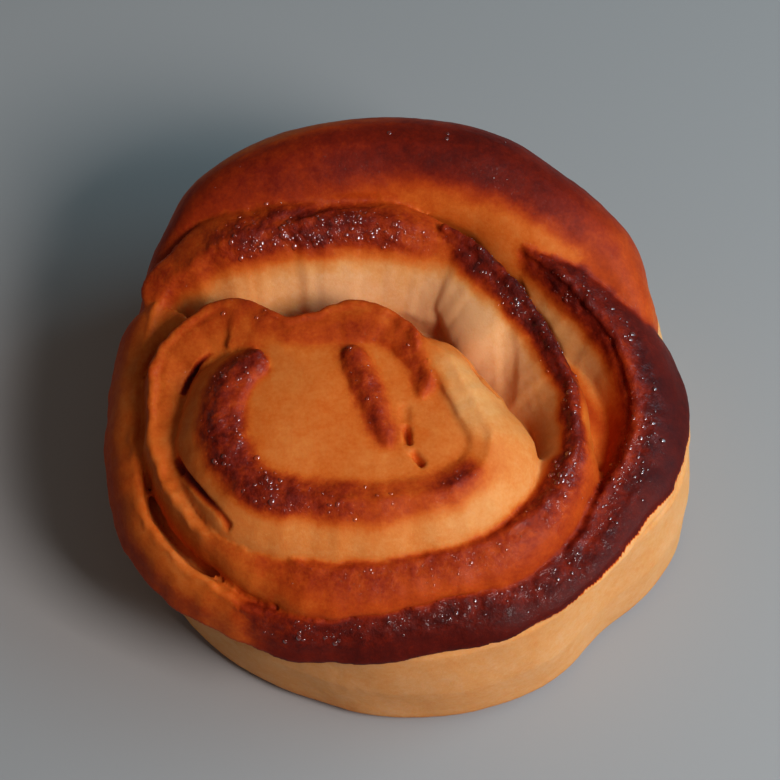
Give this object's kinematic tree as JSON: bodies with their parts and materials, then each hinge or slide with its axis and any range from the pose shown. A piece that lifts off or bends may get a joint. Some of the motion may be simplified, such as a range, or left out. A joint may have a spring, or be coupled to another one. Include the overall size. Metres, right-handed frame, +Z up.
{
  "type": "rose brioche",
  "caption": "Small round bun baked in a ring: a pale straight-sided drum of dough under a rolled crown that opens like rose petals and is browned along its crests.",
  "frame": {"origin": "centre of the flat underside, on the axis of the mould the bun was baked in", "axes": "+Z up along the mould's axis; +Y to the back, where the tallest petal stands; +X to the right seen from the front"},
  "size_m": [0.0906, 0.0891, 0.0464],
  "materials": {
    "baked_crust": "egg-washed baked crust: pale cream on the moulded side, golden in the folds, orange to dark red-brown on the crests, with a thin uneven glaze"
  },
  "bodies": {
    "root": {"rose_brioche": "baked_crust"}
  },
  "joints": []
}
